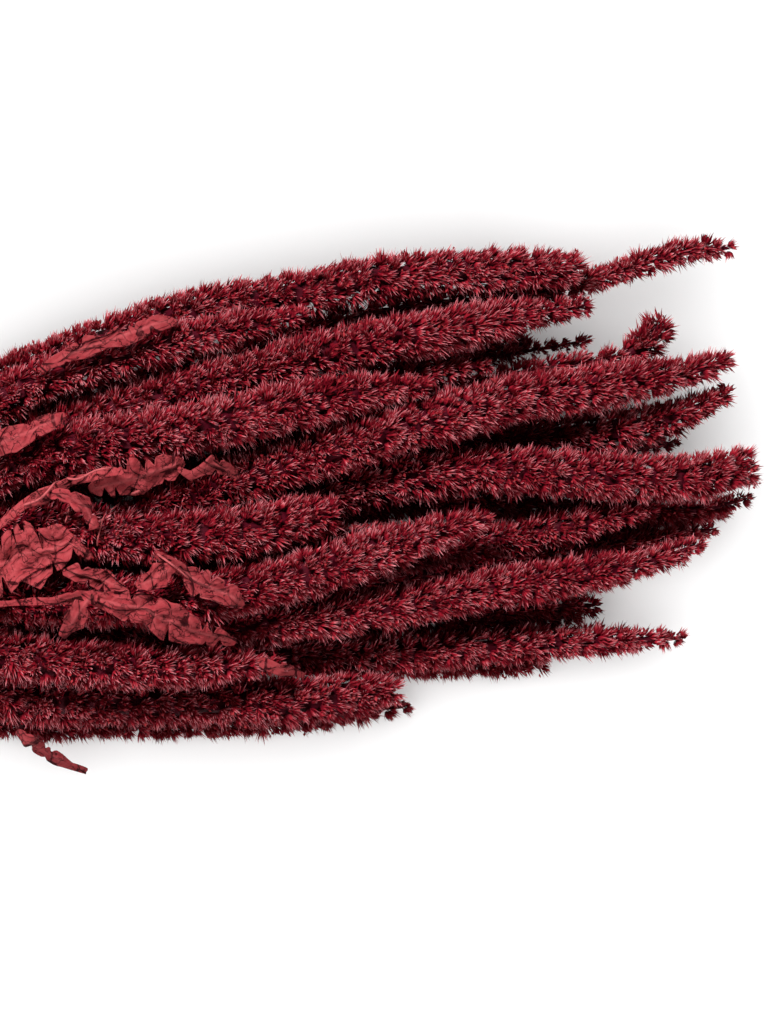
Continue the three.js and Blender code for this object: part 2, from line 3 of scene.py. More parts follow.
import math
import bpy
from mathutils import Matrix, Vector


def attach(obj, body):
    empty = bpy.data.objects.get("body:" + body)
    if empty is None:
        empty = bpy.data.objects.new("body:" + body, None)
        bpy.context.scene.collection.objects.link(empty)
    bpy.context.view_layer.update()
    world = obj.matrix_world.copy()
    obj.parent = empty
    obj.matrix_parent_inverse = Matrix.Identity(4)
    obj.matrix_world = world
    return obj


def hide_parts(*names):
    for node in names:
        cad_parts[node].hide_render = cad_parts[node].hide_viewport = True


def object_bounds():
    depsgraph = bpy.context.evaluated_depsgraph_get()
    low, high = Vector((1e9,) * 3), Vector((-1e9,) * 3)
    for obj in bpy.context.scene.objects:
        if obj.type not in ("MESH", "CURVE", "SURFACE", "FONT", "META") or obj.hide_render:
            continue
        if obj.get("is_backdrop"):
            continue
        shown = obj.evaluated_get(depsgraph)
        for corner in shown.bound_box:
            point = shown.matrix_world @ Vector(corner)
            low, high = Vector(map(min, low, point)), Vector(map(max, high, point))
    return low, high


bl_info = {
    "name": "Amaranth Seed Head",
    "version": (1, 0, 0),
    "blender": (4, 5, 0),
    "location": "3D View > Sidebar > Amaranth",
    "description": "Grows the bristles, leaves and stalk of a dried amaranth seed head",
    "category": "Object",
}

import bpy
import numpy as np
from mathutils import Vector
from mathutils.bvhtree import BVHTree

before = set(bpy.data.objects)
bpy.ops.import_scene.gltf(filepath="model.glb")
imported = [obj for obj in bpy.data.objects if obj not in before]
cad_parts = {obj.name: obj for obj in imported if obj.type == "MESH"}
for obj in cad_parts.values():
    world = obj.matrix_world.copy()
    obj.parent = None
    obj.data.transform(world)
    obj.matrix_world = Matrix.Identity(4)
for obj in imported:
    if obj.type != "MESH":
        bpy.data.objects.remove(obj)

MM = 0.001
SPIKES = sorted(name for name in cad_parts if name.startswith("spike"))
LEAVES = sorted(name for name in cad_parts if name.startswith("leaf"))
HEAD_LEAN = math.radians(9.5)  # how far the photograph shows the head turned from level
VIEW_CENTRE = (0.0857, -0.0082)  # what the middle of the photograph looks down on
VIEW_WIDTH = 0.3234  # across the photograph, at half the head's height


def length(name, description, millimetres):
    default = millimetres * MM
    return bpy.props.FloatProperty(name=name, description=description, default=default, unit="LENGTH")


def colour(name, description, *default):
    return bpy.props.FloatVectorProperty(
        name=name, description=description, subtype="COLOR", default=default
    )


def light(name, description, default):
    return bpy.props.FloatProperty(name=name, description=description, default=default, min=0.0)


def number(name, description, default):
    return bpy.props.IntProperty(name=name, description=description, default=default, min=3)


class SpikeSettings(bpy.types.PropertyGroup):
    """Sizes and colours of the flower spikes."""

    tuft_spacing: length("Tuft spacing", "Between neighbouring tufts", 4.75)
    bristle_length: length("Bristle length", "Of a full-grown bristle", 6.3)
    bristle_width: length("Bristle width", "Where it is widest", 0.78)
    bristles: number("Bristles", "In one open tuft", 26)
    floret_size: length("Floret size", "Length of a bare floret", 2.2)
    # Foot: partly the bristle's own dark foot, partly painted shade deep in a tuft and on the core
    foot_and_shade_colour: colour("Foot", "Bristle at its foot", 0.018, 0.0004, 0.0045)
    middle_colour: colour("Middle", "Bristle half way up", 0.31, 0.011, 0.022)
    # Deep: for dark bristles at random and for painted shade on shut-in tufts
    deep_and_shade_colour: colour("Deep", "Dark bristle half way up", 0.11, 0.0018, 0.007)
    # Tip: partly the bristle's own pale tip, partly painted sheen
    tip_and_sheen_colour: colour("Tip", "Bristle at its tip", 0.74, 0.29, 0.32)
    floret_colour: colour("Floret", "Bare floret", 0.33, 0.03, 0.036)


class LeafSettings(bpy.types.PropertyGroup):
    """Sizes and colours of the dry leaves."""

    thickness: length("Thickness", "Of a dry blade", 0.36)
    step: length("Step", "Between points of a blade", 0.7)
    crumple: length("Crumple", "Depth of the widest folds", 1.15)
    stalk_width: length("Stalk width", "Of a bare leaf stalk", 1.0)
    stalk_lift: length("Stalk lift", "Over what a bare stalk lies on", 4.4)
    vein_spacing: length("Vein spacing", "Between side veins", 6.5)
    blade_colour: colour("Blade", "Open blade", 0.285, 0.026, 0.033)
    # Fold: painted shade in hollows and along crease lines, also darkening the listed leaves and the spots
    fold_shade_colour: colour("Fold", "Inside a fold", 0.035, 0.0012, 0.003)
    rim_colour: colour("Rim", "Rim and veins", 0.42, 0.085, 0.09)


class StalkSettings(bpy.types.PropertyGroup):
    """Sizes and colours of the stalk."""

    ridges: number("Ridges", "Round the stalk", 11)
    ridge_height: length("Ridge height", "Of each ridge", 0.45)
    skin_colour: colour("Skin", "Between the ridges", 0.12, 0.012, 0.013)
    ridge_colour: colour("Ridge", "On the ridges", 0.3, 0.05, 0.04)
    pith_colour: colour("Pith", "Inside, at the cut", 0.6, 0.36, 0.22)


class StageSettings(bpy.types.PropertyGroup):
    """The camera, the lights and the floor."""

    camera_height: length("Camera height", "Above half the head's height", 1050.0)
    key_power: light("Key light", "Watts", 71.0)
    fill_power: light("Fill light", "Watts", 52.0)
    floor_light_power: light("Floor light", "Watts", 130.0)
    room_strength: light("Room light", "Strength of the light from all sides", 0.1)
    floor_colour: colour("Floor", "Plain floor", 0.9, 0.9, 0.9)


class Socket:
    """A shader socket that Python expressions can work with."""

    def __init__(self, tree, output):
        self.tree = tree
        self.output = output

    def maths(self, operation, *values):
        node = self.tree.nodes.new("ShaderNodeMath")
        node.operation = operation
        for place, value in zip(node.inputs, values):
            plug(self.tree, place, value)
        return Socket(self.tree, node.outputs[0])

    def __add__(self, other):
        return self.maths("ADD", self, other)

    __radd__ = __add__

    def __sub__(self, other):
        return self.maths("SUBTRACT", self, other)

    def __rsub__(self, other):
        return self.maths("SUBTRACT", other, self)

    def __mul__(self, other):
        return self.maths("MULTIPLY", self, other)

    __rmul__ = __mul__

    def from_whole(self):
        """The distance from the nearest whole number."""
        return self.maths("PINGPONG", self, 0.5)

    def clamped(self):
        return self.maths("MINIMUM", self.maths("MAXIMUM", self, 0.0), 1.0)

    def between(self, start, end):
        """0 at start, 1 at end, even in between and level past both."""
        return ((self - start) * (1.0 / (end - start))).clamped()


def plug(tree, place, value):
    """Links a socket to an input, or sets the input's own value."""
    if isinstance(value, Socket):
        tree.links.new(value.output, place)
    elif hasattr(value, "__len__") and len(value) == 3 and len(place.default_value) == 4:
        place.default_value = (*value, 1.0)
    else:
        place.default_value = value


class Finish:
    """A material whose nodes are all made by node()."""

    def __init__(self, name):
        self.material = bpy.data.materials.new(name)
        self.material.use_nodes = True
        self.tree = self.material.node_tree
        self.tree.nodes.clear()

    def node(self, kind, sockets=(), settings=(), output=0):
        made = self.tree.nodes.new("ShaderNode" + kind)
        for key, value in dict(settings).items():
            setattr(made, key, value)
        for key, value in dict(sockets).items():
            plug(self.tree, made.inputs[key], value)
        return Socket(self.tree, made.outputs[output]) if made.outputs else None

    def attribute(self, name):
        return self.node("Attribute", settings={"attribute_name": name}, output="Fac")

    def mix(self, share, first, second):
        """The first colour, turned into the second by a share."""
        sockets = {0: share, 6: first, 7: second}
        return self.node("Mix", sockets, {"data_type": "RGBA"}, output=2)

    def noise(self, scale, detail, stretch=(1.0, 1.0, 1.0)):
        place = self.node("TexCoord", output="Object")
        stretched = self.node("Mapping", {"Vector": place, "Scale": stretch})
        return self.node("TexNoise", {"Vector": stretched, "Scale": scale, "Detail": detail})

    def bump(self, height, strength, distance):
        return self.node("Bump", {"Height": height, "Strength": strength, "Distance": distance})

    def surface(self, sockets):
        shader = self.node("BsdfPrincipled", sockets)
        self.node("OutputMaterial", {"Surface": shader})
        return self.material


def darker(colour, share):
    return [share * channel for channel in colour]


DEEP_TONES = (0.219, 0.844)  # over which a bristle's middle turns from deep to full colour; low tones come at random and from painted shade
FOOT_SHARE = (0.0, 0.5)  # of a bristle, over which its dark foot, partly painted shade deep in the tuft, fades
PALE_SHARE = (0.55, 1.0045)  # of a bristle, over which its pale tip colour, partly painted sheen, comes in
PALE_TONES = (0.56, 0.854)  # over which tips turn pale, partly with painted sheen; tufts darkened by painted shade stay dark


def bristle_finish(size):
    """Dark at a bristle's foot, partly painted shade, crimson above it, and pinkish at the tip, partly
    painted sheen.
    """
    finish = Finish("amaranth_bristle")
    along, tone, floret = (finish.attribute(name) for name in ("along", "tone", "floret"))
    middle = finish.mix(tone.between(*DEEP_TONES), size.deep_and_shade_colour, size.middle_colour)
    # Dark feet: partly their own colour, partly painted shade deep in the tufts
    low = finish.mix(along.between(*FOOT_SHARE), size.foot_and_shade_colour, middle)
    # Pale tips, partly painted sheen, held back where the tone is low from painted shade
    pale = along.between(*PALE_SHARE) * tone.between(*PALE_TONES)
    high = finish.mix(pale, low, size.tip_and_sheen_colour)
    colour = finish.mix(floret, high, size.floret_colour)
    roughness = 0.62 - floret * 0.2 - along * 0.12
    return finish.surface({"Base Color": colour, "Roughness": roughness, "Specular IOR Level": 0.06})


CREASES = (  # dark lines of painted shade down the folds: name, width as a share of the way to the next crease, and darkness
    ("crease_1", 0.075, 0.95),
    ("crease_2", 0.055, 0.8),
    ("crease_3", 0.1, 0.45),
)
CREASE_EDGE = 0.035  # over which a crease fades, as such a share too
CREASE_BREADTH = (0.4, 0.567)  # noise over which a crease grows to its full width
WRINKLES = (  # dark lines of painted shade in fine wrinkles, where a noise has a level: scale, detail, level, fineness, blotches, darkness
    (240.0, 2.5, 0.5, 36.0, (0.42, 0.545), 0.8),
    (330.0, 1.5, 0.73, 26.0, (0.56, 0.449), 0.75),
)
BLOTCHES = (0.35, 1.183)  # noise over which the blade's colour darkens
GRAIN = (0.5, 1.125)  # noise over which its fine grain darkens


def leaf_finish(size):
    """Matt and mottled, with painted shade in its hollows, thin dark lines of painted shade down in its folds
    and wrinkles, and a paler rim.
    """
    finish = Finish("amaranth_leaf")
    fold, rim, tone = (finish.attribute(name) for name in ("fold", "rim", "tone"))
    mottle = finish.noise(420.0, 4.0)
    blotch = finish.noise(110.0, 2.0)
    grain = finish.noise(1500.0, 5.0)
    breadth = finish.noise(170.0, 2.0).between(*CREASE_BREADTH)
    # Painted shade: dark lines down the folds and in the wrinkles
    lines = 0.0
    for name, width, darkness in CREASES:
        inside = breadth * width - finish.attribute(name).from_whole()
        lines = (inside * (1.0 / CREASE_EDGE)).clamped() * darkness + lines
    for scale, detail, level, fineness, blotches, darkness in WRINKLES:
        line = 1.0 - (finish.noise(scale, detail) - level).from_whole() * fineness
        lines = lines + line.clamped() * blotch.between(*blotches) * darkness
    blade = finish.mix(blotch.between(*BLOTCHES), size.blade_colour, darker(size.blade_colour, 0.7))
    blade = finish.mix((mottle * 0.9 + tone * 0.16 - 0.34).clamped(), blade, size.rim_colour)
    blade = finish.mix(grain.between(*GRAIN), blade, darker(size.blade_colour, 0.45))
    # Painted shade in hollows and along the crease and wrinkle lines, in the fold shade colour
    colour = finish.mix((fold * 0.6 + lines).clamped(), blade, size.fold_shade_colour)
    colour = finish.mix((rim * 0.6).clamped(), colour, size.rim_colour)
    bump = finish.bump(grain * 0.4 + mottle - lines * 1.4, 0.8, 0.5 * MM)
    return finish.surface(
        {"Base Color": colour, "Roughness": 0.9, "Specular IOR Level": 0.1, "Normal": bump}
    )


def stalk_finish(size):
    """A dull furrowed skin with fibres along it, and pale pith at the cut."""
    finish = Finish("amaranth_stalk")
    ridge, pith = (finish.attribute(name) for name in ("ridge", "pith"))
    fibre = finish.noise(260.0, 4.0, stretch=(0.06, 1.0, 1.0))
    speck = finish.noise(900.0, 3.0)
    on_ridge = (ridge * 0.7 + fibre * 0.6 - 0.3).clamped()
    skin = finish.mix(on_ridge, size.skin_colour, size.ridge_colour)
    inside = finish.mix(speck.between(0.4, 0.9), size.pith_colour, darker(size.pith_colour, 0.45))
    colour = finish.mix(pith, skin, inside)
    bump = finish.bump(fibre + speck * 0.5, 0.5, 0.3 * MM)
    return finish.surface({"Base Color": colour, "Roughness": 0.72, "Normal": bump})


def smoothstep(low, high, value):
    share = np.clip((value - low) / (high - low), 0.0, 1.0)
    return share * share * (3.0 - 2.0 * share)


def unit(vectors):
    return vectors / np.maximum(np.linalg.norm(vectors, axis=-1, keepdims=True), 1e-12)


def smoothed(values, passes=1):
    """Evens out a row of values or points in place, all but both ends."""
    for _ in range(passes):
        values[1:-1] = (values[:-2] + 2.0 * values[1:-1] + values[2:]) / 4.0
    return values


def evened(grid, passes):
    """Evens out a grid of values in place, first one way and then the other."""
    for _ in range(passes):
        smoothed(grid)
        smoothed(grid.T)
    return grid


def lengths_to(line):
    """How far along a line each of its points is."""
    return np.concatenate([[0.0], np.cumsum(np.linalg.norm(np.diff(line, axis=0), axis=1))])


def read_at(places, along, rows):
    """Rows of numbers at some places along a line, from the rows known at others."""
    return np.stack([np.interp(places, along, column) for column in rows.T], axis=1)


def travelled(points, line):
    """How far along a line each point lies, and its distance from it."""
    start, step = line[:-1], np.diff(line, axis=0)
    length = np.linalg.norm(step, axis=1)
    share = np.einsum("psk,sk->ps", points[:, None] - start, step) / length**2
    share = share.clip(0.0, 1.0)
    away = np.linalg.norm(points[:, None] - start - share[..., None] * step, axis=2)
    nearest = away.argmin(1)
    rows = np.arange(len(points))
    along = lengths_to(line)[nearest] + share[rows, nearest] * length[nearest]
    return along, away[rows, nearest]


def from_photograph(line):
    """Places in plan, from millimetres from VIEW_CENTRE as the photograph shows them."""
    cos, sin = math.cos(HEAD_LEAN), math.sin(HEAD_LEAN)
    turn = np.array([[cos, sin], [-sin, cos]])
    return np.array(line) * MM @ turn.T + VIEW_CENTRE


def arrays_of(node):
    """A CAD node's vertices and its triangles."""
    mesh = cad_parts[node].data
    mesh.calc_loop_triangles()
    points = np.zeros(len(mesh.vertices) * 3)
    mesh.vertices.foreach_get("co", points)
    triangles = np.zeros(len(mesh.loop_triangles) * 3, dtype=np.int32)
    mesh.loop_triangles.foreach_get("vertices", triangles)
    return points.reshape(-1, 3), triangles.reshape(-1, 3)


def make_piece(name, points, faces, values, material, slot, smooth=False):
    """A mesh piece. values holds a number for each point, under each attribute's name."""
    mesh = bpy.data.meshes.new(name)
    mesh.vertices.add(len(points))
    mesh.vertices.foreach_set("co", points.astype(np.float32).ravel())
    mesh.loops.add(faces.size)
    mesh.loops.foreach_set("vertex_index", faces.astype(np.int32).ravel())
    mesh.polygons.add(len(faces))
    starts = np.arange(0, faces.size, faces.shape[1], dtype=np.int32)
    mesh.polygons.foreach_set("loop_start", starts)
    for key, value in values.items():
        attribute = mesh.attributes.new(key, "FLOAT", "POINT")
        attribute.data.foreach_set("value", value.astype(np.float32))
    mesh.update(calc_edges=True)
    mesh.validate()
    mesh.materials.append(material)
    mesh.polygons.foreach_set("use_smooth", np.full(len(mesh.polygons), smooth))
    piece = bpy.data.objects.new(name, mesh)
    bpy.context.scene.collection.objects.link(piece)
    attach(piece, "root")
    return piece


SPINE_STEP = 3.0 * MM  # between points of a spine
SPINE_SECTION = 9.0 * MM  # of a node, whose middle is one point of its line
SECTION_PASSES = (6.0, 3.0, 1.5, 1.0)  # how many times as long the sections of each pass are


class Spine:
    """The line along the middle of a CAD node, from the stalk outwards, and its radius there."""

    @classmethod
    def through(cls, points, radius, step=SPINE_STEP):
        """A line through given points, with a radius that narrows towards its end."""
        spine = cls.__new__(cls)
        spine.set_line(points, step)
        spine.radius = radius * np.interp(spine.along, (0.0, spine.length), (1.1, 0.7))
        return spine

    def __init__(self, node, section=SPINE_SECTION):
        points, _ = arrays_of(node)
        axis = np.linalg.svd(points - points.mean(0), full_matrices=False)[2][0]
        axis *= np.sign(axis[0])
        far = points @ axis
        line = np.array([points[far.argmin()], points[far.argmax()]])
        for share in SECTION_PASSES:
            line = self.sectioned(points, line, section * share)
        self.set_line(line)
        self.set_radii(points, section)

    def sectioned(self, points, line, section):
        """A new line through the middles of sections across the old one."""
        along, _ = travelled(points, line)
        count = max(2, int(round(along.max() / section)))
        middles = [line[0]]
        for place in (np.arange(count) + 0.5) / count * along.max():
            weight = np.clip(1.0 - np.abs(along - place) / section, 0.0, None)
            if weight.sum() > 1.0:
                middles.append((points * weight[:, None]).sum(0) / weight.sum())
        middles.append(line[-1])
        return smoothed(np.array(middles))

    def set_line(self, line, step=SPINE_STEP):
        length = lengths_to(line)
        self.length = length[-1]
        self.count = max(4, int(self.length / step) + 1)
        self.along = np.linspace(0.0, self.length, self.count)
        self.points = smoothed(read_at(self.along, length, line), 6)
        self.ahead = unit(np.gradient(self.points, axis=0))
        side = unit(np.cross(self.ahead[0], (0.0, 0.0, 1.0)))
        sides = []
        for ahead in self.ahead:
            side = unit(side - ahead * side.dot(ahead))
            sides.append(side)
        self.side = np.array(sides)
        self.up = np.cross(self.side, self.ahead)

    def set_radii(self, points, section):
        along, away = travelled(points, self.points)
        reach = []
        for place in self.along:
            near = away[np.abs(along - place) < section * 0.8]
            reach.append(near.max() if len(near) else 0.0)
        self.radius = smoothed(np.array(reach), 4)

    def at(self, places):
        """Point, direction ahead, sideways, upwards and radius at each of some lengths along."""
        kinds = (self.points, self.ahead, self.side, self.up)
        rows = [read_at(places, self.along, values) for values in kinds]
        return (*rows, np.interp(places, self.along, self.radius))

    def tube(self, radii, sides):
        """Points of a closed tube, ring by ring, and its triangles."""
        angle = np.arange(sides)[None, :, None] / sides * 2.0 * np.pi
        out = np.cos(angle) * self.side[:, None] + np.sin(angle) * self.up[:, None]
        points = self.points[:, None] + out * radii[..., None]
        return points, ring_faces(len(points), sides)


def ring_faces(rings, sides):
    """Triangles between rings of points, and over the first and last ring."""
    grid = np.arange(rings * sides).reshape(rings, sides)
    beside = np.roll(grid, -1, axis=1)
    near = np.stack([grid[:-1], beside[:-1], beside[1:]], axis=-1).reshape(-1, 3)
    far = np.stack([grid[:-1], beside[1:], grid[1:]], axis=-1).reshape(-1, 3)
    fan = np.array([[0, k, k + 1] for k in range(1, sides - 1)])
    return np.concatenate([near, far, fan[:, [0, 2, 1]], fan + grid[-1, 0]])


KEEL = 0.7  # how deep a bristle's keel is, as a share of half its width


def bracts(feet, directions, lengths, widths, sideways):
    """Closed keeled blades, widest half way up: four points and four triangles for each."""
    wide = unit(sideways - directions * (sideways * directions).sum(1, keepdims=True))
    half = widths[:, None] / 2.0
    waist = feet + directions * lengths[:, None] * 0.5 + np.cross(wide, directions) * half * KEEL
    tips = feet + directions * lengths[:, None]
    points = np.stack([feet, waist + wide * half, waist - wide * half, tips], axis=1)
    faces = np.array([[0, 1, 2], [0, 3, 1], [0, 2, 3], [1, 3, 2]])
    return points.reshape(-1, 3), (np.arange(len(feet))[:, None, None] * 4 + faces).reshape(-1, 3)


def buds(centres, directions, lengths, widths):
    """Closed three-sided double cones: five points and six triangles for each."""
    helper = np.where(np.abs(directions[:, 2:]) < 0.9, (0.0, 0.0, 1.0), (1.0, 0.0, 0.0))
    across = unit(np.cross(directions, helper))
    over = np.cross(directions, across)
    ring = []
    for angle in np.arange(3) * 2.0 * np.pi / 3.0:
        out = np.cos(angle) * across + np.sin(angle) * over
        ring.append(centres + out * widths[:, None] / 2.0)
    half = directions * lengths[:, None] * 0.5
    points = np.stack([*ring, centres - half, centres + half], axis=1)
    faces = np.array([[0, 1, 4], [1, 2, 4], [2, 0, 4], [1, 0, 3], [2, 1, 3], [0, 2, 3]])
    return points.reshape(-1, 3), (np.arange(len(centres))[:, None, None] * 5 + faces).reshape(-1, 3)


class Grown:
    """Meshes added one after another, with a value for each point under each of some names."""

    def __init__(self, *names):
        self.names = names
        self.points, self.faces, self.values = [], [], []
        self.count = 0

    def add(self, points, faces, *values):
        self.points.append(points)
        self.faces.append(faces + self.count)
        self.values.append([np.broadcast_to(value, len(points)) for value in values])
        self.count += len(points)

    def joined(self):
        values = {name: np.concatenate(each) for name, each in zip(self.names, zip(*self.values))}
        return np.concatenate(self.points), np.concatenate(self.faces), values


OPEN_TO = ((90.0, 1, 3.0), (48.0, 5, 1.0), (12.0, 6, 1.0))  # rings of sight lines: rise, how many, weight
SIGHT_LENGTH = 90 * MM


class Openness:
    """How much of its surroundings a place on the head is open to, from 0 to 1."""

    def __init__(self):
        head = Grown()
        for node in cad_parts:
            head.add(*arrays_of(node))
        points, triangles, _ = head.joined()
        self.tree = BVHTree.FromPolygons(points.tolist(), triangles.tolist())
        self.lines = []
        for rise, number, weight in OPEN_TO:
            for k in range(number):
                turn, up = 2.0 * np.pi * (k + 0.25) / number, np.radians(rise)
                line = (np.cos(turn) * np.cos(up), np.sin(turn) * np.cos(up), np.sin(up))
                self.lines.append((Vector(line), weight))
        self.most = sum(weight for _, weight in self.lines)

    def top(self, x, y):
        """How high the head is at a place in plan."""
        hit = self.tree.ray_cast(Vector((x, y, 1.0)), Vector((0.0, 0.0, -1.0)))[0]
        return hit.z if hit else 0.0

    def at(self, places, facings):
        """The openness of some places, each on a surface that faces some way."""
        shares = []
        for place, facing in zip(places.tolist(), facings.tolist()):
            start, facing = Vector(place), Vector(facing)
            seen = 0.0
            for line, weight in self.lines:
                outward = line.dot(facing) > -0.2
                if outward and self.tree.ray_cast(start, line, SIGHT_LENGTH)[0] is None:
                    seen += weight
            shares.append(seen / self.most)
        return np.array(shares)


FLOWER_START = (0.08, 0.14)  # share of a spike over which its bare foot gives way to flowers
ROOT_DEPTH = 4.7 * MM  # of a tuft's root below the spike's outside
SLIMMEST_ROOT = 0.3  # the least that a root is from the middle, in radii
RING_STEP = 0.86  # between rings of tufts, in tuft spacings
RING_TURN = 2.4  # radians from one ring to the next
RING_DEPTH = 1.6 * MM  # where in the spike a ring's tufts have their even spacing
STRAY = (0.4, 0.28)  # how far along and round the spike a tuft is from its even place
SWELLING = (13 * MM, 0.13)  # over what distance tufts grow larger and smaller, and by how much
LEAN = (40.0, 13.0)  # degrees towards the spike's tip: mean and spread
REACH = (0.8, 1.8 * MM)  # the longest a bristle may be: share of the radius, and this more


class Tufts:
    """The tufts of one spike: their roots, which way they face, and how large and how open each is."""

    def __init__(self, spine, size, openness, rng):
        places, angles = self.spaced(spine, size.tuft_spacing, rng)
        middle, self.ahead, side, up, radius = spine.at(places)
        self.out = np.cos(angles)[:, None] * side + np.sin(angles)[:, None] * up
        self.roots = middle + self.out * np.maximum(radius - ROOT_DEPTH, radius * SLIMMEST_ROOT)[:, None]
        self.count = len(self.roots)
        grown = smoothstep(*FLOWER_START, places / spine.length)
        wave, swelling = SWELLING
        self.scale = 1.0 + swelling * uneven(self.roots, wave, rng)
        self.scale *= rng.uniform(0.84, 1.12, self.count)
        self.scale *= 0.45 + 0.55 * grown
        lean = np.radians(rng.normal(*LEAN, self.count))[:, None]
        stray = rng.normal(0.0, 0.24, self.roots.shape)
        self.facing = unit(self.out * np.cos(lean) + self.ahead * np.sin(lean) + stray)
        self.reach = np.minimum(size.bristle_length, radius * REACH[0] + REACH[1])
        outside = self.roots + self.out * np.minimum(ROOT_DEPTH, radius * (1.0 - SLIMMEST_ROOT))[:, None]
        opened = openness.at(outside + self.out * 1.5 * MM, self.out)
        self.seen = 0.14 + 0.95 * opened**0.6

    def spaced(self, spine, spacing, rng):
        """How far along the spine and at what angle round it each tuft is."""
        places, angles = [], []
        start = spine.length * FLOWER_START[0]
        rings = int((spine.length - start) / (spacing * RING_STEP))
        for ring in range(rings):
            along = start + (ring + 0.5) * (spine.length - start) / rings
            radius = np.interp(along, spine.along, spine.radius)
            count = int(round(2.0 * np.pi * max(radius - RING_DEPTH, 1.5 * MM) / spacing))
            count = max(3, count)
            for k in range(count):
                places.append(along + rng.uniform(-STRAY[0], STRAY[0]) * spacing)
                share = (k + rng.uniform(-STRAY[1], STRAY[1])) / count
                angles.append(ring * RING_TURN + share * 2.0 * np.pi)
        return np.clip(np.array(places), start, spine.length - 0.5 * MM), np.array(angles)


CORE_DEPTH = 1.0 * MM  # of the core below the tufts' roots
CORE_SIDES = 7
CORE_ALONG = (0.1, 0.35)  # the part of a bristle that it looks like: in the flowers, where it is dark with painted shade, and at its bare foot


def add_core(grown, spine, rng):
    """The slim core that a spike's tufts are rooted in, dark with painted shade among the flowers, and its
    bare foot.
    """
    bare = 1.0 - smoothstep(*FLOWER_START, spine.along / spine.length)
    inner = np.maximum(spine.radius - ROOT_DEPTH - CORE_DEPTH, spine.radius * 0.22)
    core = bare * spine.radius * 0.95 + (1.0 - bare) * inner
    core[-1] *= 0.3
    lumps = 0.1 * rng.standard_normal((spine.count, CORE_SIDES)) * (1.0 - bare)[:, None]
    points, faces = spine.tube(core[:, None] * (1.0 + lumps), CORE_SIDES)
    along = np.interp(bare, (0.0, 1.0), CORE_ALONG)
    # Among the flowers the core takes a bristle foot's colour: painted shade between the tufts
    grown.add(points.reshape(-1, 3), faces, 0.45, np.repeat(along, CORE_SIDES), 0.0)


TUFT_SPREAD = 0.7  # how far bristles spread sideways in a tuft, in lengths ahead
BRACTS = 0.4  # share of the bristles that are short and broad, where the others are long and fine
LENGTHS = (0.74, 1.0)  # of a bract and of a fine bristle, in bristle lengths
WIDTHS = (1.7, 0.8)
TONES = (0.42, 0.76)
HIDDEN = 0.75  # a tuft less open than this has broader and longer bristles
SHADED = 0.66  # a tuft less open than this gets painted shade: a lower tone, so darker bristles
PATCHES = (30 * MM, 0.09)  # over what distance the tone changes, and by how much


def add_bristles(grown, tufts, size, rng):
    """The bristles of every tuft: bracts and fine ones, fewer where the spike is shut in and darker there
    with painted shade.
    """
    counts = np.maximum(3, np.round(size.bristles * tufts.seen)).astype(int)
    tuft = np.repeat(np.arange(tufts.count), counts)
    total = len(tuft)
    helper = unit(np.cross(tufts.facing, tufts.ahead + tufts.out * 0.3))
    other = np.cross(tufts.facing, helper)
    turn = rng.uniform(0.0, 2.0 * np.pi, total)
    spread = np.sqrt(rng.uniform(0.0, 1.0, total)) * TUFT_SPREAD
    sideways = (np.cos(turn) * spread)[:, None] * helper[tuft]
    sideways += (np.sin(turn) * spread)[:, None] * other[tuft]
    direction = unit(tufts.facing[tuft] + sideways)
    bract = rng.uniform(size=total) < BRACTS
    hidden = np.clip(HIDDEN - tufts.seen[tuft], 0.0, 1.0)
    length = (tufts.reach * tufts.scale)[tuft] * rng.uniform(0.8, 1.15, total)
    length *= (1.06 - 0.2 * spread) * np.where(bract, *LENGTHS) * (1.0 + 0.35 * hidden)
    width = size.bristle_width * rng.uniform(0.8, 1.2, total)
    width *= np.where(bract, *WIDTHS) * (1.0 + 1.6 * hidden)
    feet = tufts.roots[tuft] + sideways * 0.7 * MM
    facing = tufts.facing[tuft]
    beside = np.cross(facing, direction) + facing * rng.normal(0.0, 0.25, total)[:, None]
    beside += rng.normal(0.0, 0.1, (total, 3))
    points, faces = bracts(feet, direction, length, width, beside)
    wave, patchy = PATCHES
    patch = patchy * uneven(tufts.roots, wave, rng) + 0.1 * rng.standard_normal(tufts.count)
    # Painted shade: tufts shut in from the light get a lower tone
    shade = np.clip(SHADED - tufts.seen, 0.0, 0.4) * 1.1
    tone = np.where(bract, *TONES) + (patch - shade)[tuft]
    tone = np.clip(tone + 0.16 * rng.standard_normal(total), 0.0, 1.0)
    grown.add(points, faces, np.repeat(tone, 4), np.tile((0.0, 0.5, 0.5, 1.0), total), 0.0)


FLORET_COLOURS = (0.45, 1.0)  # how far it has the bare floret's colour: dull ones and full ones
FLORET_ALONG = 0.6  # the part of a bristle that it otherwise looks like


def add_florets(grown, tufts, size, rng):
    """Small bare florets between the bristles, two in each second tuft that has any."""
    pick = np.flatnonzero(rng.uniform(size=tufts.count) < tufts.seen * 1.1)
    pick = np.concatenate([pick, pick[::2]])
    count = len(pick)
    direction = unit(tufts.facing[pick] + rng.normal(0.0, 0.45, (count, 3)))
    depth = tufts.reach[pick] * rng.uniform(0.45, 0.75, count)
    length = size.floret_size * rng.uniform(0.7, 1.2, count)
    centres = tufts.roots[pick] + direction * depth[:, None]
    facing = unit(direction + rng.normal(0.0, 0.35, (count, 3)))
    points, faces = buds(centres, facing, length, length * rng.uniform(0.5, 0.75, count))
    tone = np.clip(0.6 + 0.25 * rng.standard_normal(count), 0.0, 1.0)
    floret = rng.choice(FLORET_COLOURS, count)
    grown.add(points, faces, np.repeat(tone, 5), FLORET_ALONG, np.repeat(floret, 5))


FLATTENED = 0.25 * MM  # how high what the floor presses lies


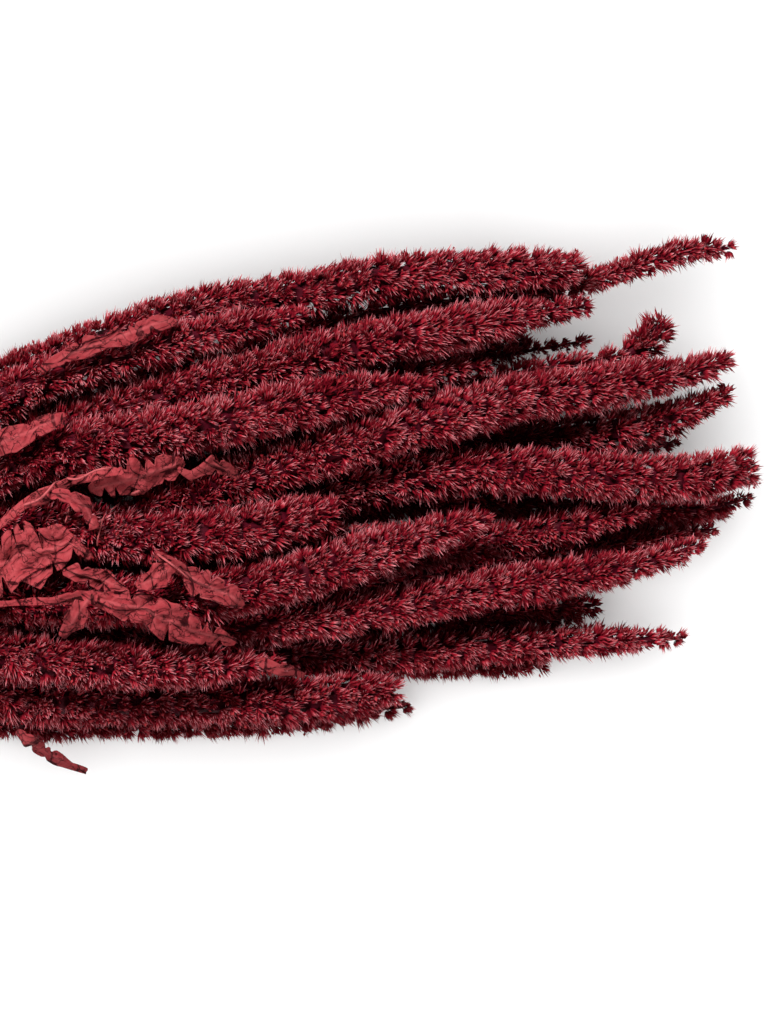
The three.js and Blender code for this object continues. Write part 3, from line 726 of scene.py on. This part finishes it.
def grow_spike(name, spine, size, material, openness, seed):
    """One spike: a slim core dark with painted shade, tufts of bristles that lean towards its tip, and bare
    florets.
    """
    rng = np.random.default_rng(seed)
    grown = Grown("tone", "along", "floret")
    add_core(grown, spine, rng)
    tufts = Tufts(spine, size, openness, rng)
    add_bristles(grown, tufts, size, rng)
    add_florets(grown, tufts, size, rng)
    points, faces, values = grown.joined()
    low = points[:, 2] < FLATTENED
    points[low, 2] = FLATTENED * rng.uniform(0.4, 1.0, low.sum())
    piece = make_piece(name + "_bristles", points, faces, values, material, "flower_spike")
    spread_for_bake(piece, values)
    return piece


def spread_for_bake(piece, values):
    """Maps each point by its tone and its place along a bristle, which give its colour."""
    mesh = piece.data
    corners = np.zeros(len(mesh.loops), dtype=np.int32)
    mesh.loops.foreach_get("vertex_index", corners)
    layer = mesh.uv_layers.new(name="OFBake")
    across = 0.03 + 0.94 * (values["tone"] * 0.62 + values["floret"] * 0.36)
    up = 0.03 + 0.94 * values["along"]
    places = np.stack([across, up], axis=1)[corners]
    layer.data.foreach_set("uv", places.astype(np.float32).ravel())


class Blade:
    """A CAD leaf from above: its line from foot to tip, its edges and the height of its top."""

    def __init__(self, node, step):
        points, triangles = arrays_of(node)
        self.cast = BVHTree.FromPolygons([Vector(p) for p in points], triangles.tolist())
        plan = points[:, :2]
        self.origin = plan.mean(0)
        self.axis = np.linalg.svd(plan - self.origin, full_matrices=False)[2][0]
        self.axis *= np.sign(self.axis[0])
        self.across = np.array((-self.axis[1], self.axis[0]))
        along, aside = (plan - self.origin) @ self.axis, (plan - self.origin) @ self.across
        rows = max(12, int(np.ptp(along) / step))
        self.stations = np.linspace(along.min() + 0.2 * MM, along.max() - 0.2 * MM, rows)
        edges = np.concatenate([triangles[:, [0, 1]], triangles[:, [1, 2]], triangles[:, [2, 0]]])
        low, high = self.outline(edges, along, aside)
        self.middle, self.half = (low + high)[:, None] / 2.0, (high - low)[:, None] / 2.0
        self.share = np.linspace(-1.0, 1.0, max(8, int((high - low).max() / step) + 1))[None]

    def outline(self, edges, along, aside):
        """Where the leaf begins and ends across each station."""
        low, high = [], []
        first, second = along[edges[:, 0]], along[edges[:, 1]]
        for station in self.stations:
            crossing = (first - station) * (second - station) <= 0.0
            crossing &= np.abs(second - first) > 1e-9
            one, two = edges[crossing, 0], edges[crossing, 1]
            share = (station - along[one]) / (along[two] - along[one])
            cut = aside[one] + share * (aside[two] - aside[one])
            low.append(cut.min())
            high.append(cut.max())
        return np.array(low), np.array(high)

    def plan(self, along, aside):
        """Places in plan from their places along and across the leaf."""
        return [self.origin[k] + along * self.axis[k] + aside * self.across[k] for k in range(2)]

    def heights(self, along, aside):
        """The heights of the leaf's top over a grid, and beside it those of the nearest places on it."""
        x, y = self.plan(along, aside)
        heights = np.full(x.shape, np.nan)
        for place in np.ndindex(*x.shape):
            hit = self.cast.ray_cast(Vector((x[place], y[place], 1.0)), Vector((0.0, 0.0, -1.0)))[0]
            if hit:
                heights[place] = hit.z
        for line in (*heights, *heights.T):
            known = np.isfinite(line)
            if known.any():
                line[~known] = np.interp(np.flatnonzero(~known), np.flatnonzero(known), line[known])
        return heights


def uneven(points, wave, rng):
    """A smooth random number at each point, mostly from -1 to 1, with about this wavelength."""
    total = np.zeros(len(points))
    for _ in range(5):
        direction = rng.normal(0.0, 1.0, 3) * 2.0 * np.pi / wave / 1.7
        total += np.sin(points @ direction + rng.uniform(0.0, 6.3))
    return total / 2.5


def wandering(places, wave, rng):
    """A random line of straight stretches, from -1 to 1, with about this wavelength."""
    knots = np.arange(places.min() - wave, places.max() + 2.0 * wave, wave)
    knots += rng.uniform(-0.4, 0.4, len(knots)) * wave
    return np.interp(places, knots, rng.uniform(-1.0, 1.0, len(knots)))


EDGE_WAVES = ((11 * MM, 0.12), (2.2 * MM, 0.05))  # over what distance an edge wanders, and how far


def torn_edge(stations, rng):
    """How far out a torn edge runs at each station, as a share of where a whole one would."""
    edge = 1.0
    for wave, depth in EDGE_WAVES:
        edge = edge + depth * wandering(stations, wave, rng)
    for _ in range(int(np.ptp(stations) / (12 * MM)) + 1):
        place = rng.uniform(*stations[[0, -1]])
        depth = rng.uniform(0.3, 0.9)
        width = rng.uniform(0.5, 1.2) * MM
        edge *= 1.0 - depth * np.exp(-(((stations - place) / width) ** 2))
    return edge[:, None]


def fold_phase(x, y, rng, wave, angle):
    """Counts the folds, about a wave wide, that are crossed on the way to each point at an angle."""
    angle = angle + rng.uniform(-0.3, 0.3)
    here = (x * np.cos(angle) + y * np.sin(angle)) / wave
    there = (y * np.cos(angle) - x * np.sin(angle)) / wave
    phase = here + 0.6 * np.sin(0.7 * there + rng.uniform(0.0, 6.0))
    phase += 0.3 * np.sin(1.9 * there + rng.uniform(0.0, 6.0))
    phase += 0.35 * np.sin(1.7 * here + 0.9 * there + rng.uniform(0.0, 6.0))
    return phase + 0.12 * np.sin(3.1 * here + 1.9 * there) + rng.uniform(0.0, 1.0)


def zigzag(phase):
    """The height of even sharp folds, from -1 to 1, which are lowest at whole phases."""
    return 4.0 * np.abs(phase - np.floor(phase + 0.5)) - 1.0


def pleat(phase, steep=0.18):
    """The height of pleats, from -1 to 1: steep up past each whole phase, then gently down."""
    part = (phase + steep / 2.0) % 1.0
    return np.interp(part, (0.0, steep, 1.0), (-1.0, 1.0, -1.0))


OUT_OF_SIGHT_LEAVES = ("leaf_11", "leaf_12", "leaf_13")  # past the photograph's edge
DULL_LEAVES = {  # how far each of these is turned all over to the painted fold shade colour
    "leaf_01": 0.4, "leaf_02": 0.2, "leaf_05": 0.04, "leaf_06": 0.48, "leaf_07": 0.08,
    "leaf_08": 0.04, "leaf_09": 0.3, "leaf_10": 0.42, "leaf_14": 0.3, "leaf_17": 0.06,
}
SPOTS = ((-81.4, -45.2, 1.7),)  # dark spots on leaves: millimetres from VIEW_CENTRE, and radius
BARE_HALF = (1.6 * MM, 3.6 * MM)  # half widths over which a leaf's stalk becomes its blade
CURL_FROM = 0.62  # of the way out to the edge
CURL_RADIUS = 1.9 * MM  # where the curl is 1
ACROSS_LEAF = math.pi / 2  # direction over a leaf, where 0 is along it
FOLD_WIDTHS = (8.5 * MM, 12.0 * MM, 4.0 * MM)
RIB_WIDTH = 0.55 * MM
VEIN_WIDTH = 0.38 * MM
VEIN_SLANT = 1.15  # how far a side vein runs along the leaf as it runs across it
INSIDE_DEPTH = 0.6 * MM  # below its surroundings, where a place gets the full painted shade of a fold


def curled(blade, wide, rng):
    """A torn leaf's places across it, flat and with its rim curled, and how high the curl lifts them."""
    left, right = (blade.half * (1.0 - wide * (1.0 - torn_edge(blade.stations, rng))) for _ in range(2))
    side = np.where(blade.share < 0.0, left, right)
    flat = blade.share * side
    curls = []
    for _ in range(2):
        curl = wandering(blade.stations, 11 * MM, rng).clip(0.0, 0.8)
        curls.append(curl[:, None] * wide / CURL_RADIUS)
    bend = np.where(blade.share < 0.0, *curls) + 1e-3
    inner = np.minimum(np.abs(flat), CURL_FROM * side)
    angle = np.minimum((np.abs(flat) - inner) * bend, 2.6)
    aside = np.sign(blade.share) * (inner + np.sin(angle) / bend)
    return flat, aside, (1.0 - np.cos(angle)) / bend


def veins(along, flat, left, spacing):
    """How much of the midrib and of a side vein is at each point, from 0 to 1."""
    rib = np.exp(-((flat / RIB_WIDTH) ** 2))
    phase = (along - VEIN_SLANT * np.abs(flat) + left * spacing * 0.5) / spacing
    off = (phase - np.floor(phase) - 0.5) * spacing
    return rib, np.exp(-((off / VEIN_WIDTH) ** 2)) * (1.0 - rib)


def spotted(x, y):
    """1 inside the dark spots and 0 outside."""
    inside = np.zeros(x.shape)
    for *place, radius in SPOTS:
        spot = from_photograph([place])[0]
        away = np.hypot(x - spot[0], y - spot[1]) / (radius * MM)
        inside = np.maximum(inside, 1.0 - smoothstep(0.8, 1.2, away))
    return inside


def grow_leaf(node, size, material, seed):
    """One leaf: the CAD leaf with sharp folds, veins, a curled rim and a torn edge, as a thin sheet."""
    rng = np.random.default_rng(seed)
    blade = Blade(node, size.step * (1.7 if node in OUT_OF_SIGHT_LEAVES else 1.0))
    wide = smoothstep(*BARE_HALF, blade.half)
    flat, aside, lift = curled(blade, wide, rng)
    along = np.broadcast_to(blade.stations[:, None], aside.shape)
    x, y = blade.plan(along, blade.middle + aside)
    unrolled = blade.middle + flat
    phases = [fold_phase(along, unrolled, rng, FOLD_WIDTHS[0], ACROSS_LEAF)]
    slant = rng.choice((-0.8, 0.8))
    phases.append(fold_phase(along, unrolled, rng, FOLD_WIDTHS[1], ACROSS_LEAF + slant))
    phases.append(fold_phase(along, unrolled, rng, FOLD_WIDTHS[2], ACROSS_LEAF))
    folds = 0.6 * pleat(phases[0]) + 0.5 * zigzag(phases[1]) + 0.25 * pleat(phases[2])
    inner = np.clip(aside, -0.92 * blade.half, 0.92 * blade.half)
    z = evened(blade.heights(along, blade.middle + inner), 5)
    z += (folds * size.crumple + 1.1 * MM) * wide + lift
    rib, vein = veins(along, flat, blade.share < 0.0, size.vein_spacing)
    z += (0.45 * rib + 0.3 * vein) * MM * wide

    spot = spotted(x, y)
    cavity = evened(z.copy(), 7) - z
    # Painted shade in hollows, plus the listed leaves darkened all over and the dark spots
    fold = np.clip(cavity / INSIDE_DEPTH, 0.0, 1.0) * wide + DULL_LEAVES.get(node, 0.0) + 2.0 * spot
    worn = wandering(blade.stations, 5 * MM, rng).clip(0.0)[:, None]
    rim = smoothstep(0.9, 1.0, np.abs(blade.share)) * worn
    rim = np.maximum(rim, np.maximum(rib * 0.7, vein * 0.3)) * wide * (1.0 - spot)
    values = {"fold": fold, "rim": rim, "tone": np.full(fold.shape, rng.uniform(0.2, 0.9))}
    values |= {name: phase for (name, _, _), phase in zip(CREASES, phases)}
    values = {key: np.tile(value.ravel(), 2) for key, value in values.items()}

    surface = np.stack([x, y, z], axis=-1)
    ahead, beside = (unit(np.gradient(surface, axis=axis)) for axis in range(2))
    facing = unit(np.cross(ahead, beside))
    thick = (size.thickness * wide + (1.0 - wide) * 1.1 * MM)[..., None] / 2.0
    top, under = surface + facing * thick, surface - facing * thick
    points = np.concatenate([top.reshape(-1, 3), under.reshape(-1, 3)])
    points[:, 2] = np.maximum(points[:, 2], FLATTENED)
    faces = sheet_faces(*z.shape)
    if facing[..., 2].mean() < 0.0:
        faces = faces[:, ::-1]
    piece = make_piece(node + "_blade", points, faces, values, material, "leaf", smooth=True)
    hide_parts(node)


BARE_STALKS = (  # points in millimetres from VIEW_CENTRE, as the photograph shows them
    ((-98.7, 8.8), (-105.0, 6.3), (-110.5, 3.8), (-115.1, -1.3), (-116.3, -8.0), (-118.0, -14.7)),
    (
        (-147.0, 2.5), (-139.9, 4.6), (-135.7, 8.8), (-133.1, 13.4), (-129.8, 13.9),
        (-126.4, 12.2), (-121.8, 13.4), (-117.6, 16.4), (-109.2, 17.6),
    ),
    ((-130.6, 3.4), (-129.8, -0.4), (-131.0, -5.5)),
    ((-92.4, -17.6), (-86.1, -21.4), (-79.4, -27.7)),
)


def grow_bare_stalks(size, material, openness):
    """Bare leaf stalks and rolled strips of leaf that lie over the head."""
    creases = [name for name, _, _ in CREASES]
    grown = Grown("fold", "rim", "tone", *creases)
    for line in BARE_STALKS:
        marks = from_photograph(line)
        length = lengths_to(marks)
        plan = read_at(np.arange(0.0, length[-1], 0.8 * MM), length, marks)
        height = np.array([openness.top(*place) for place in plan.tolist()])
        for _ in range(8):
            height[1:-1] = np.maximum(height[1:-1], (height[:-2] + height[2:]) / 2.0)
        plan = smoothed(plan, 8)
        arch = np.clip(3.0 * np.sin(np.linspace(0.0, np.pi, len(plan))), 0.1, 1.0)
        line = np.column_stack([plan, height + size.stalk_lift * arch])
        rod = Spine.through(line, size.stalk_width / 2.0, 1.0 * MM)
        points, faces = rod.tube(rod.radius[:, None], 6)
        grown.add(points.reshape(-1, 3), faces, 0.0, 1.6, 0.6, *[0.5] * len(creases))
    make_piece("bare_leaf_stalks", *grown.joined(), material, "leaf", smooth=True)


def sheet_faces(rows, columns):
    """Squares over the top and the underside of a grid, and round its rim."""
    grid = np.arange(rows * columns).reshape(rows, columns)
    top = np.stack([grid[:-1, :-1], grid[1:, :-1], grid[1:, 1:], grid[:-1, 1:]], axis=-1).reshape(-1, 4)
    ring = np.concatenate([grid[0, :-1], grid[:-1, -1], grid[-1, :0:-1], grid[:0:-1, 0]])
    following = np.roll(ring, -1)
    edge = np.stack([ring, following, following + grid.size, ring + grid.size], axis=1)
    return np.concatenate([top, top[:, ::-1] + grid.size, edge])


RIDGE_POINTS = 6  # round the stalk, for each ridge
# Over the cut, from its middle out: share of the radius, and millimetres sunk.
CUT_RINGS = ((0.03, 0.4), (0.2, 0.35), (0.5, 0.3), (0.8, 0.1), (0.93, -0.25))
PITH_RINGS = 4  # the first of these that are pith


def grow_stalk(size, material):
    """The stalk: ridges and furrows along it, and its rough cut end with the pith inside."""
    rng = np.random.default_rng(7)
    spine = Spine("stalk", 14 * MM)
    sides = size.ridges * RIDGE_POINTS
    angle = np.arange(sides) / sides * 2.0 * np.pi
    twist = np.linspace(0.0, 0.9, spine.count)[:, None]
    ridge = 0.5 + 0.5 * np.cos((angle[None] + twist) * size.ridges)
    wander = evened(rng.standard_normal((spine.count, sides)), 2)
    radius = spine.radius[:, None] * 0.97 - size.ridge_height * (1.0 - ridge) + wander * 0.16 * MM
    rings, _ = spine.tube(radius, sides)
    cut = []
    for share, sunk in reversed(CUT_RINGS):
        deep = sunk * MM + rng.normal(0.0, 0.12, sides) * MM
        cut.append(spine.points[0] + (rings[0] - spine.points[0]) * share + spine.ahead[0] * deep[:, None])
    top = [spine.points[-1] + (rings[-1] - spine.points[-1]) * share for share in (0.5, 0.05)]
    rings = np.concatenate([cut[::-1], rings, top])
    bare = [np.zeros((len(more), sides)) for more in (cut, top)]
    ridges = np.concatenate([bare[0], ridge, bare[1]])
    pith = np.zeros(ridges.shape)
    pith[:PITH_RINGS] = 1.0
    values = {"ridge": ridges.ravel(), "pith": pith.ravel()}
    points = rings.reshape(-1, 3)
    points[:, 2] = np.maximum(points[:, 2], FLATTENED)
    faces = ring_faces(len(rings), sides)
    piece = make_piece("stalk_skin", points, faces, values, material, "stalk", smooth=True)
    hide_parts("stalk")


AIM_HEIGHT = 0.04  # of the point that every lamp looks at
LAMPS = (  # name, width, distance, bearing from the photograph's right and rise, the floor's part
    ("key", 0.42, 2.0, (122.0, 50.0), "EXCLUDE"),
    ("fill", 1.5, 3.0, (-75.0, 38.0), "EXCLUDE"),
    ("floor_light", 5.0, 2.0, (0.0, 90.0), "INCLUDE"),
)


class AMARANTH_OT_stage(bpy.types.Operator):
    """Sets the camera, the lights and the floor"""

    bl_idname = "amaranth.stage"
    bl_label = "Set the Stage"

    def execute(self, context):
        size = context.scene.amaranth_stage
        low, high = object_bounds()
        middle = (low[2] + high[2]) / 2.0
        camera = bpy.data.objects.new("camera", bpy.data.cameras.new("camera"))
        context.scene.collection.objects.link(camera)
        camera.location = (*VIEW_CENTRE, middle + size.camera_height)
        camera.rotation_euler = (0.0, 0.0, -HEAD_LEAN)
        camera.data.sensor_fit = "HORIZONTAL"
        camera.data.lens = camera.data.sensor_width * size.camera_height / VIEW_WIDTH
        context.scene.camera = camera

        bpy.ops.mesh.primitive_plane_add(size=6.0, location=(0.0, 0.0, -0.2 * MM))
        floor = context.object
        floor.name = "floor"
        pale = Finish("floor").surface({"Base Color": size.floor_colour, "Roughness": 0.9})
        floor.data.materials.append(pale)
        floor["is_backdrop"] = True

        for name, *rest in LAMPS:
            self.lamp(context, name, getattr(size, name + "_power"), *rest, floor)
        world = bpy.data.worlds.new("room")
        context.scene.world = world
        world.use_nodes = True
        background = world.node_tree.nodes["Background"]
        background.inputs["Color"].default_value = (1.0, 1.0, 1.0, 1.0)
        background.inputs["Strength"].default_value = size.room_strength
        context.scene.view_settings.view_transform = "Standard"
        return {"FINISHED"}

    def lamp(self, context, name, power, width, distance, place, state, floor):
        """An area lamp that lights the floor only, or all but the floor, as state says."""
        light = bpy.data.lights.new(name, "AREA")
        light.energy = power
        light.shape = "DISK"
        light.size = width
        lamp = bpy.data.objects.new(name, light)
        context.scene.collection.objects.link(lamp)
        turn, rise = math.radians(place[0]) - HEAD_LEAN, math.radians(place[1])
        level = math.cos(rise)
        reach = Vector((math.cos(turn) * level, math.sin(turn) * level, math.sin(rise)))
        lamp.location = Vector((*VIEW_CENTRE, AIM_HEIGHT)) + reach * distance
        lamp.rotation_euler = reach.to_track_quat("Z", "Y").to_euler()
        lit = bpy.data.collections.new(name + "_lit")
        lit.objects.link(floor)
        lit.collection_objects[0].light_linking.link_state = state
        lamp.light_linking.receiver_collection = lit


UNDER_SPIKES = (  # slender, low in the gaps, and darkened there by painted shade: points in millimetres from VIEW_CENTRE, height, radius
    (((8, 64.5), (40, 69), (62, 72.5)), 15, 7),
    (((30, -3.5), (50, -0.5), (68, 3.5)), 12, 5.5),
    (((88, -13), (112, -6.5), (132, -2), (150, 1.5)), 9, 6.5),
    (((92, -20.5), (118, -13), (138, -8)), 8, 5),
    (((26, -49.5), (56, -48.5), (84, -44.5)), 12, 7),
    (((66, -34), (84, -31.5), (100, -29)), 12, 5.5),
    (((-80, -88), (-50, -87), (-20, -87.5)), 9, 5),
    (((96, 24), (112, 27), (126, 30)), 10, 4.5),
)


class AMARANTH_OT_spikes(bpy.types.Operator):
    """Grows the bristles and florets of every spike"""

    bl_idname = "amaranth.spikes"
    bl_label = "Grow the Spikes"

    def execute(self, context):
        size = context.scene.amaranth_spikes
        material = bristle_finish(size)
        openness = Openness()
        for seed, node in enumerate(SPIKES):
            piece = grow_spike(node, Spine(node), size, material, openness, 100 + seed)
            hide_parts(node)
        for seed, (line, height, radius) in enumerate(UNDER_SPIKES):
            points = np.pad(from_photograph(line), ((0, 0), (0, 1)), constant_values=height * MM)
            spine = Spine.through(points, radius * MM)
            name = f"under_spike_{seed + 1}"
            grow_spike(name, spine, size, material, openness, 200 + seed)
        return {"FINISHED"}


class AMARANTH_OT_leaves(bpy.types.Operator):
    """Makes every crumpled leaf"""

    bl_idname = "amaranth.leaves"
    bl_label = "Make the Leaves"

    def execute(self, context):
        size = context.scene.amaranth_leaves
        material = leaf_finish(size)
        for seed, node in enumerate(LEAVES):
            grow_leaf(node, size, material, 300 + seed)
        grow_bare_stalks(size, material, Openness())
        return {"FINISHED"}


class AMARANTH_OT_stalk(bpy.types.Operator):
    """Makes the stalk with its ridges and its cut end"""

    bl_idname = "amaranth.stalk"
    bl_label = "Make the Stalk"

    def execute(self, context):
        size = context.scene.amaranth_stalk
        grow_stalk(size, stalk_finish(size))
        return {"FINISHED"}


class AMARANTH_PT_panel(bpy.types.Panel):
    """Lists the steps that make the seed head"""

    bl_idname = "AMARANTH_PT_panel"
    bl_label = "Amaranth Seed Head"
    bl_space_type = "VIEW_3D"
    bl_region_type = "UI"
    bl_category = "Amaranth"

    def draw(self, context):
        for operator in OPERATORS:
            self.layout.operator(operator.bl_idname)


SETTINGS = {
    "amaranth_spikes": SpikeSettings,
    "amaranth_leaves": LeafSettings,
    "amaranth_stalk": StalkSettings,
    "amaranth_stage": StageSettings,
}
OPERATORS = (AMARANTH_OT_stage, AMARANTH_OT_stalk, AMARANTH_OT_spikes, AMARANTH_OT_leaves)
CLASSES = (*SETTINGS.values(), *OPERATORS, AMARANTH_PT_panel)


def register():
    for cls in CLASSES:
        bpy.utils.register_class(cls)
    for name, group in SETTINGS.items():
        setattr(bpy.types.Scene, name, bpy.props.PointerProperty(type=group))


def unregister():
    for name in SETTINGS:
        delattr(bpy.types.Scene, name)
    for cls in reversed(CLASSES):
        bpy.utils.unregister_class(cls)


def corners():
    """The box of everything shown, as plain lists."""
    return [[float(value) for value in corner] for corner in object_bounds()]


def main():
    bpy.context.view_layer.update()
    register()
    bpy.ops.amaranth.stage()
    bpy.ops.amaranth.stalk()
    bpy.ops.amaranth.spikes()
    bpy.ops.amaranth.leaves()


if __name__ == "__main__":
    main()
